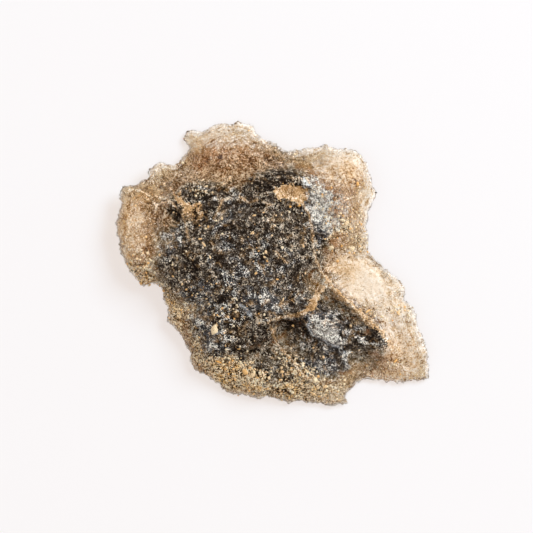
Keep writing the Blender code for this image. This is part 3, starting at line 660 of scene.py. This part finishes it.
def smoky_glass(glass):
    """Etched, absorbing glass under a broken crust of stony, rusty and frosted specks."""
    material, graph = new_material("smoky_glass")
    t = shared_textures(graph)
    thick, crusted, tone = crust_levels(t)
    weave_and_painted_light, veil_and_through_light = film_and_light_levels(t)
    # The film's colour, partly painted light shining through the thin glass.
    film_and_through_light = graph.blend(0.5 * t.stain, glass.veil_and_through_light_colour, glass.stain_tint)
    film_and_through_light = graph.times(graph.ramp(weave_and_painted_light, VEIL_AND_THROUGH_LIGHT), film_and_through_light)
    crust = crust_colour(graph, t, thick, tone)
    crust = graph.blend((veil_and_through_light - 2.0 * crusted).between(0.0, 0.1), crust, film_and_through_light)
    crust, rubbed = marked_crust(graph, t, tone, crust)
    cover = crusted.at_least(veil_and_through_light).at_least(rubbed.between(0.12, 0.50)).at_least(0.8 * t.rim)
    cover = cover.at_least(0.95 * t.bruise).at_least(0.8 * t.crack)
    cover = cover.at_least((2.0 * t.light_lines * t.stain).at_most(0.6))

    relief = 0.7 * t.fine + 0.7 * t.speck + t.strokes - 0.6 * t.granule + 0.5 * t.bands
    bump = graph.bumps(relief * (1.0 - 0.75 * t.calm.at_least(t.pale)), 0.9, 0.05 * MM)
    clear = graph.add("BsdfPrincipled", {
        "Base Color": glass_tint(graph, t, thick, weave_and_painted_light, glass),
        "Roughness": glass.roughness + 0.18 * t.frost - 0.04 * t.calm,
        "IOR": glass.ior, "Transmission Weight": 1.0, "Normal": bump})
    opaque = graph.add("BsdfPrincipled", {
        "Base Color": crust, "Roughness": 0.50, "Specular IOR Level": 0.07, "Normal": bump})
    surface = graph.add("MixShader", {0: cover, 1: clear, 2: opaque})
    depths = graph.add("VolumeAbsorption", {"Color": glass.colour, "Density": glass.density})
    graph.add("OutputMaterial", {"Surface": surface, "Volume": depths})
    return material


def dry_soil(soil):
    """Dull silt and rusty sand."""
    material, graph = new_material("dry_soil")
    fine = graph.noise(graph.add("TexCoord", output="Object"), 0.07 * MM, detail=2.0)
    colour = graph.blend(graph.mask("rust") + 0.8 * (fine - 0.5), soil.pale, soil.rusty)
    colour = graph.blend((fine - 0.52).between(0.0, 0.16), colour, HUMUS)
    bump = graph.bumps(fine, 0.5, 0.03 * MM)
    surface = graph.add("BsdfPrincipled", {"Base Color": colour, "Roughness": 0.7, "Normal": bump})
    graph.add("OutputMaterial", {"Surface": surface})
    return material


def white_table(stage):
    """Matt white board with the faintest unevenness."""
    material, graph = new_material("white_table")
    fine = graph.noise(graph.add("TexCoord", output="Object"), 0.8 * MM)
    surface = graph.add("BsdfPrincipled", {
        "Base Color": stage.table_colour, "Roughness": 0.7, "Specular IOR Level": 0.2,
        "Normal": graph.bumps(fine, 0.03, 0.05 * MM),
        "Emission Color": TABLE_LIGHT, "Emission Strength": stage.table_glow})
    graph.add("OutputMaterial", {"Surface": surface})
    return material


def finely_divided(node, etch):
    """The node's solid with its points joined and its long edges halved, round by round."""
    bm = bmesh.new()
    bm.from_mesh(node.data)
    bmesh.ops.remove_doubles(bm, verts=bm.verts, dist=JOIN_DISTANCE)
    bmesh.ops.triangulate(bm, faces=bm.faces)
    bm.normal_update()
    fine = [p for _, *line in CRESTS for p in line_points(line, LINE_STEP)]
    fine += [p for _, *corners in FACETS for p in line_points(closed(corners), LINE_STEP)]
    lines = plan_tree(fine)

    def longest(edge):
        middle = (edge.verts[0].co + edge.verts[1].co) / 2
        if max(face.normal.z for face in edge.link_faces) <= 0.0:
            return etch.under_edge
        if lines.find((middle.x / MM, middle.y / MM, 0.0))[2] < LINE_REACH:
            return etch.line_edge
        return etch.upper_edge

    for _ in range(DIVIDING_ROUNDS):
        split = [edge for edge in bm.edges if edge.calc_length() > longest(edge)]
        bmesh.ops.subdivide_edges(bm, edges=split, cuts=1)
        bmesh.ops.triangulate(bm, faces=[face for face in bm.faces if len(face.verts) > 3])
        bm.normal_update()
    return bm


def plan_tree(points):
    """A search tree of points in plan."""
    tree = KDTree(len(points))
    for i, (x, y) in enumerate(points):
        tree.insert((x, y, 0.0), i)
    tree.balance()
    return tree


def rim_edges(bm):
    """The edges where the upper face turns into the underside."""
    return [edge for edge in bm.edges
            if edge.link_faces[0].normal.z * edge.link_faces[1].normal.z < 0.0]


def rounded(co, ends, held, rounds):
    """Points drawn towards the mean of their neighbours, except the held ones."""
    count = len(co)
    both = np.concatenate([ends, ends[:, ::-1]])
    share = np.bincount(both[:, 0], minlength=count)[:, None]
    for _ in range(rounds):
        near = np.stack([np.bincount(both[:, 0], row[both[:, 1]], count) for row in co.T], axis=1) / share
        co = np.where(held[:, None], co, co + SMOOTHING_SHARE * (near - co))
    return co


def line_points(line, step=0.05):
    """Points every step along a line, given as points or as a flat row of their numbers."""
    line = np.reshape(line, (-1, 2))
    lengths = np.linalg.norm(np.diff(line, axis=0), axis=1)
    along = np.concatenate([[0.0], np.cumsum(lengths)])
    wanted = np.arange(0.0, along[-1], step)
    return np.stack([np.interp(wanted, along, row) for row in line.T], axis=1)


def closed(corners):
    """A flat row of corners that ends where it starts."""
    return (*corners, *corners[:2])


def facet_mask(places, corners):
    """1 inside the polygon and 0 outside, with a soft edge."""
    x, y = places.T
    outline = np.reshape(closed(corners), (-1, 2))
    inside = np.zeros(len(places), bool)
    for (ax, ay), (bx, by) in zip(outline, outline[1:]):
        with np.errstate(divide="ignore", invalid="ignore"):
            inside ^= ((ay > y) != (by > y)) & (x < (bx - ax) * (y - ay) / (by - ay) + ax)
    far = nearness(places, line_points(outline))
    return np.clip(0.5 + np.where(inside, far, -far) / FACET_SOFTNESS, 0.0, 1.0)


def nearness(places, points):
    """Distance in plan from each place to the nearest of the points."""
    tree = plan_tree(points)
    return np.array([tree.find((x, y, 0.0))[2] for x, y in places])


def line_distance(places, lines):
    """Distance in plan from each place to the nearest of these lines."""
    return np.min([nearness(places, line_points(line)) for line in lines], axis=0)


def turned(places, x, y, along, across, turn):
    """Places in a patch's own coordinates, where its half-lengths are 1."""
    c, s = math.cos(math.radians(turn)), math.sin(math.radians(turn))
    dx, dy = places[:, 0] - x, places[:, 1] - y
    return (dx * c + dy * s) / along, (dy * c - dx * s) / across


def patchwork(places, patches):
    """Strength at each place of a set of soft-edged patches."""
    total = np.zeros(len(places))
    for *ellipse, strength in patches:
        u, v = turned(places, *ellipse)
        total = np.maximum(total, strength * np.exp(-(u * u + v * v) ** 2))
    return total


def noise_field(places, size, seed, octaves):
    """Smooth noise of about -1 to 1 at places in millimetres."""
    return np.array([noise.fractal(Vector(p) / size + Vector((seed, 0.0, seed)), 0.8, 2.1, octaves)
                     for p in places])


def wrinkle_field(places, size, seed):
    """Crumpled ridges that wander and branch: 1 on a ridge and below 0 between ridges."""
    total = np.zeros(len(places))
    for i, p in enumerate(places):
        v = Vector(p) / size + Vector((seed, seed, seed))
        total[i] = 1.0 - 2.6 * abs(noise.noise(v)) - 1.3 * abs(noise.noise(v * 2.3))
    return total


def cup_fields(places, size, seed):
    """Round cups, about -0.5 in their middles and 0.5 between them, and 1 on the thin walls between."""
    cells = np.array([noise.voronoi(Vector(p) / size + Vector((seed, seed, 0.0)))[0][:2] for p in places])
    near, second = cells.T
    walls = np.exp(-((second - near) * size / WALL_WIDTH) ** 2)
    return np.minimum(2.2 * near * near, 1.0) - 0.5, walls


def flow_field(plan):
    """Lines left by flowing glass, only where the patches have them."""
    total = np.zeros(len(plan))
    for *ellipse, direction, strength in FLOW:
        u, v = turned(plan, *ellipse)
        inside = strength * np.exp(-(u * u + v * v) ** 2)
        c, s = math.cos(math.radians(direction)), math.sin(math.radians(direction))
        for i in np.nonzero(inside > 0.02)[0]:
            x, y = plan[i]
            bend = 0.5 * noise.noise(Vector((x / 2.6, y / 2.6, 4.0)))
            a, b = x * c + y * s, y * c - x * s + bend
            total[i] += inside[i] * (noise.noise(Vector((b / 0.36, a / 3.2, 7.0)))
                                     + 0.6 * noise.noise(Vector((b / 0.18, a / 1.9, 3.0))))
    return total


def opposite_depth(co, normals, surface):
    """Upright thickness of the glass at each point, in millimetres."""
    depths = np.zeros(len(co))
    for i, (point, normal) in enumerate(zip(co, normals)):
        way = -1.0 if normal[2] > 0.0 else 1.0
        start = Vector((point[0], point[1], point[2] + 0.02 * way))
        depths[i] = surface.ray_cast(start, Vector((0.0, 0.0, way)))[3] or 0.0
    return depths


def mesh_of(name, bm):
    """The mesh made by bmesh, which is then freed."""
    mesh = bpy.data.meshes.new(name)
    bm.to_mesh(mesh)
    bm.free()
    return mesh


def placed(name, data):
    """A new object in the scene with this data."""
    obj = bpy.data.objects.new(name, data)
    bpy.context.scene.collection.objects.link(obj)
    return obj


def gathered(items, name, width, kind=float):
    """One property of all these points, edges or faces, a row for each."""
    values = np.empty(len(items) * width, kind)
    items.foreach_get(name, values)
    return values.reshape(-1, width)


def move_points(mesh, co):
    """Puts the mesh's points at these places in millimetres."""
    mesh.vertices.foreach_set("co", (co * MM).astype(np.float32).ravel())
    mesh.update()


def fine_mesh(node, etch):
    """The divided, smoothed solid, its points in millimetres, and its rim's places and outward ways."""
    bm = finely_divided(node, etch)
    on_rim = np.zeros(len(bm.verts), bool)
    bm.verts.index_update()
    rim = []
    outward = []
    for edge in rim_edges(bm):
        on_rim[[vert.index for vert in edge.verts]] = True
        middle = (edge.verts[0].co + edge.verts[1].co) / (2 * MM)
        side = edge.link_faces[0].normal + edge.link_faces[1].normal
        rim.append(middle[:2])
        outward.append(Vector(side[:2]).normalized()[:])
    mesh = mesh_of(FLAKE, bm)
    ends = gathered(mesh.edges, "vertices", 2, np.int32)
    co = rounded(gathered(mesh.vertices, "co", 3) / MM, ends, on_rim, SMOOTHING_ROUNDS)
    co[:, 2] = np.maximum(co[:, 2], 0.0)
    move_points(mesh, co)
    return mesh, co, rim, np.array(outward)


def finish_masks(plan, sway, upper, from_rim):
    """How strong each finish is at each point."""
    patchy = plan + PATCH_SWAY * sway
    faceted = plan + FACET_SWAY * sway
    tan = np.max([strength * facet_mask(faceted, corners) for strength, *corners in FACETS], axis=0)
    masks = {name: patchwork(patchy, patches) for name, patches in PATCHES.items()}
    masks["calm"] *= upper
    masks["frost"] *= upper
    masks["ochre"] *= 0.5 + 0.5 * upper
    # Painted light: the pale mask fades inward from the rim.
    masks["pale"] *= np.exp(-np.maximum(from_rim + 0.5 * sway[:, 0], 0.0) / THROUGH_LIGHT_REACH)
    masks["tan"] = tan * upper
    return masks


def etched_mesh(node, etch):
    """The flake's fine mesh, etched, with its masks stored on its points."""
    mesh, co, rim, outward = fine_mesh(node, etch)
    normals = gathered(mesh.vertex_normals, "vector", 3, np.float32).astype(float)
    faces = gathered(mesh.polygons, "vertices", 3, np.int32)
    surface = BVHTree.FromPolygons([Vector(p) for p in co], faces.tolist())
    depth = opposite_depth(co, normals, surface)

    plan = co[:, :2]
    upper = np.clip(normals[:, 2] * 3.0 + 0.5, 0.0, 1.0)
    tree = plan_tree(rim)
    found = [tree.find((x, y, 0.0)) for x, y in plan]
    from_rim = np.array([distance for _, _, distance in found])
    rim_way = outward[[index for _, index, _ in found]]

    flat = np.c_[plan, np.zeros(len(co))]
    sway = np.stack([noise_field(flat, *field) for field in SWAY], axis=1)
    masks = finish_masks(plan, sway, upper, from_rim)
    swayed = plan + CREST_SWAY * sway
    crest_far = [(strength, nearness(swayed, line_points(line))) for strength, *line in CRESTS]
    crest_line = np.max([high * np.exp(-(far / CREST_WIDTH) ** 2) for high, far in crest_far], axis=0)
    crest_rise = np.max([high * np.exp(-far / CREST_SLOPE) for high, far in crest_far], axis=0)
    crack = np.exp(-(line_distance(plan + CRACK_SWAY * sway, CRACKS) / CRACK_WIDTH) ** 2)
    crack *= np.clip(0.4 + 0.9 * noise_field(flat, *BREAKS), 0.0, 1.0)
    # Painted highlight lines along the bruised, frosted edges.
    bruise = np.exp(-(line_distance(swayed, BRUISE_HIGHLIGHT_LINES) / BRUISE_HIGHLIGHT_WIDTH) ** 2)
    scratch = np.exp(-(line_distance(plan + SCRATCH_SWAY * sway, SCRATCHES) / SCRATCH_WIDTH) ** 2)

    wear = 0.5 + 0.5 * np.clip(noise_field(co, *WEAR), -1.0, 1.0)
    calm = masks["calm"]
    rough = (1.0 - 0.75 * calm) * (1.0 - 0.7 * masks["tan"])
    flow = flow_field(plan)
    height = etch.grain / MM * noise_field(co, *GRAIN) * rough + SWELL_HEIGHT * noise_field(co, *SWELL)
    height += etch.wrinkles / MM * (1.0 - 0.6 * calm) * 0.5 * wrinkle_field(co, *WRINKLES)
    large_cups, walls = cup_fields(co, *LARGE_CUPS)
    small_cups, _ = cup_fields(co, *SMALL_CUPS)
    height += etch.cups / MM * rough * (0.6 * large_cups + 0.5 * small_cups)
    height += etch.flow / MM * flow
    height += etch.crest / MM * upper * (wear * crest_rise - 1.1 * crack)
    # The painted relief shade mask: 0 in hollows and 1 on peaks, which paints shade and highlight into the
    # colours.
    peak = np.clip(0.5 + height / RELIEF_SHADE_RANGE, 0.0, 1.0)
    height *= np.clip(depth / THIN_DEPTH, 0.05, 1.0)
    height = np.maximum(height, -0.3 * depth)

    arcs = rough * walls * np.clip(3.0 * wear - 1.5, 0.0, 1.0)
    worn = crest_line * np.clip(2.6 * wear - 0.1, 0.0, 1.0)
    chips = 0.8 * noise_field(flat, *NOTCHES) + 0.9 * np.abs(noise_field(flat, *SPLINTERS)) - 0.75
    chipped = etch.chips / MM * np.minimum(chips, 0.35) * np.exp(-(from_rim / CHIP_REACH) ** 2)
    co += normals * height[:, None]
    co[:, :2] += rim_way * chipped[:, None]
    co[:, 2] = np.clip(co[:, 2], 0.0, CAD_BOX[1][2] / MM + TOP_ALLOWANCE)
    move_points(mesh, co)

    masks.update({
        "crest": upper * np.max([worn, scratch, 0.8 * arcs], axis=0),
        "crack": crack * upper,
        "bruise": bruise * upper * np.clip(2.2 * wear - 0.5, 0.0, 1.0),
        # Painted light: a band along the rim that is painted pale where light shines through the thin edge.
        "rim": np.exp(-(from_rim / RIM_LIGHT_WIDTH) ** 4) * (0.45 + 0.7 * wear),
        "peak": peak,
        "upper": upper,
        "flow": 0.5 + 0.5 * flow,
        "depth": depth / FULL_DEPTH,
        "inland": from_rim / FULL_DEPTH,
    })
    for name in MASKS:
        layer = mesh.attributes.new(name, "FLOAT", "POINT")
        layer.data.foreach_set("value", np.clip(masks[name], 0.0, 1.0).astype(np.float32))
    mesh.shade_smooth()
    return mesh


def dress(obj):
    """The piece rides on the flake's body."""
    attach(obj, BODY)


class MOLDAVITE_OT_flake(bpy.types.Operator):
    """Make the etched flake of glass in place of its plain solid"""

    bl_idname = "moldavite.flake"
    bl_label = "Flake"

    def execute(self, context):
        scene = context.scene
        mesh = etched_mesh(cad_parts[NODE], scene.moldavite_etch)
        mesh.materials.append(smoky_glass(scene.moldavite_glass))
        flake = placed(FLAKE, mesh)
        dress(flake)
        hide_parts(NODE)
        return {"FINISHED"}


def landing(surface, x, y, above=True):
    """Where an upright ray from above or below meets the flake, and the surface's normal there."""
    way = -1 if above else 1
    start = Vector((x * MM, y * MM, -way * RAY_START))
    return surface.ray_cast(start, Vector((0, 0, way)))[:2]


def lump(bm, rust_layer, spot, normal, sizes, turn, rust, chance, rounds=1):
    """Adds one flattened, lumpy grain that lies on the surface, and marks how rusty it is."""
    lie = normal.to_track_quat("Z", "Y").to_matrix().to_4x4()
    place = Matrix.Translation(spot) @ lie @ Matrix.Rotation(turn, 4, "Z") @ Matrix.Diagonal((*sizes, 1.0))
    made = bmesh.ops.create_icosphere(bm, subdivisions=rounds, radius=1.0, matrix=place)
    seed = Vector(chance.uniform(0.0, 50.0, 3))
    for vert in made["verts"]:
        way = vert.co - spot
        vert.co = spot + way * (1.0 + 0.45 * noise.noise(way.normalized() * 1.7 + seed))
        vert[rust_layer] = rust


def likely_spots(chance):
    """A batch of random places in millimetres, few on bare glass and many where there is ochre soil."""
    low, high = (np.array(corner[:2]) / MM for corner in CAD_BOX)
    spots = chance.uniform(low, high, (SCATTER_BATCH, 2))
    luck = chance.uniform(0.0, 1.0, SCATTER_BATCH)
    return spots[luck < BARE_CHANCE + SOIL_CHANCE * patchwork(spots, PATCHES["ochre"])]


class MOLDAVITE_OT_soil(bpy.types.Operator):
    """Lodge grains of soil in the flake's pits"""

    bl_idname = "moldavite.soil"
    bl_label = "Soil"

    def execute(self, context):
        soil = context.scene.moldavite_soil
        flake = context.scene.objects[FLAKE]
        surface = BVHTree.FromObject(flake, context.evaluated_depsgraph_get())
        chance = np.random.default_rng(SCATTER_SEED)
        bm = bmesh.new()
        rust_layer = bm.verts.layers.float.new("rust")
        for x, y, length, width, turn, rust in LUMPS:
            spot, normal = landing(surface, x, y)
            sizes = (length * MM, width * MM, LUMP_FLATNESS * width * MM)
            lump(bm, rust_layer, spot, normal, sizes, math.radians(turn), rust, chance, rounds=2)
        made = 0
        while made < soil.count:
            for x, y in likely_spots(chance):
                spot, normal = landing(surface, x, y, above=chance.uniform() < SHARE_ABOVE)
                if spot is None:
                    continue
                radius = soil.least + (soil.greatest - soil.least) * chance.uniform() ** 2.2
                if radius * FLOOR_CLEARANCE < spot.z < CAD_BOX[1][2] - TOP_CLEARANCE:
                    sizes = radius * chance.uniform(0.7, 1.2, 3)
                    lump(bm, rust_layer, spot, normal, sizes, chance.uniform(0, math.tau),
                         chance.uniform() ** 2.5, chance)
                    made += 1
        mesh = mesh_of(GRAINS, bm)
        mesh.shade_smooth()
        mesh.materials.append(dry_soil(soil))
        dress(placed(GRAINS, mesh))
        return {"FINISHED"}


def soft_light(name, place, width, colour, power):
    """A square soft light, aimed at the flake."""
    data = bpy.data.lights.new(name, "AREA")
    data.shape = "SQUARE"
    data.size = width
    data.energy = power
    data.color = colour
    lamp = placed(name, data)
    lamp.location = place
    lamp.rotation_euler = (-lamp.location).to_track_quat("-Z", "Y").to_euler()
    lamp.visible_camera = False


class MOLDAVITE_OT_stage(bpy.types.Operator):
    """Lay the table, place the lights and aim the camera"""

    bl_idname = "moldavite.stage"
    bl_label = "Table, lights and camera"

    def execute(self, context):
        scene = context.scene
        stage = scene.moldavite_stage
        bm = bmesh.new()
        bmesh.ops.create_grid(bm, x_segments=1, y_segments=1, size=TABLE_HALF)
        mesh = mesh_of("table", bm)
        mesh.materials.append(white_table(stage))
        table = placed("table", mesh)
        table.location.z = -TABLE_GAP

        soft_light(*KEY_LIGHT, stage.key)
        soft_light(*TOP_LIGHT, stage.top)

        scene.world = bpy.data.worlds.new("pale_room")
        scene.world.use_nodes = True
        graph = Graph(scene.world.node_tree)
        way = graph.add("TexCoord", output="Generated")
        up = graph.add("SeparateXYZ", {0: way}, output="Z")
        bright = stage.sky * (1.0 - (1.0 - stage.sky_top) * up.between(0.05, 0.70))
        room = graph.add("Background", {"Color": ROOM_COLOUR, "Strength": bright})
        graph.add("OutputWorld", {"Surface": room})
        scene.view_settings.view_transform = "Standard"

        lens = bpy.data.cameras.new("camera")
        lens.lens = CAMERA_LENS
        lens.sensor_width = SENSOR_WIDTH
        lens.clip_start = 10 * MM
        lens.clip_end = 10.0
        camera = placed("camera", lens)
        camera.location = (*VIEW_CENTRE, VIEW_WIDTH * CAMERA_LENS / SENSOR_WIDTH + VIEW_HEIGHT)
        scene.camera = camera
        return {"FINISHED"}


class MOLDAVITE_PT_panel(bpy.types.Panel):
    """The flake's steps in the sidebar"""

    bl_idname = "MOLDAVITE_PT_panel"
    bl_label = "Moldavite flake"
    bl_space_type = "VIEW_3D"
    bl_region_type = "UI"
    bl_category = "Moldavite"

    def draw(self, context):
        for kind in OPERATORS:
            self.layout.operator(kind.bl_idname)
        for name, kind in SETTINGS.items():
            box = self.layout.box()
            group = getattr(context.scene, name)
            for key in kind.__annotations__:
                box.prop(group, key)


SETTINGS = {
    "moldavite_glass": GlassSettings,
    "moldavite_etch": EtchSettings,
    "moldavite_soil": SoilSettings,
    "moldavite_stage": StageSettings,
}
OPERATORS = (MOLDAVITE_OT_stage, MOLDAVITE_OT_flake, MOLDAVITE_OT_soil)
CLASSES = (*SETTINGS.values(), *OPERATORS, MOLDAVITE_PT_panel)


def register():
    for kind in CLASSES:
        bpy.utils.register_class(kind)
    for name, kind in SETTINGS.items():
        setattr(bpy.types.Scene, name, PointerProperty(type=kind))


def unregister():
    for name in SETTINGS:
        delattr(bpy.types.Scene, name)
    for kind in reversed(CLASSES):
        bpy.utils.unregister_class(kind)


def main():
    register()
    bpy.ops.moldavite.stage()
    bpy.ops.moldavite.flake()
    bpy.ops.moldavite.soil()


if __name__ == "__main__":
    main()
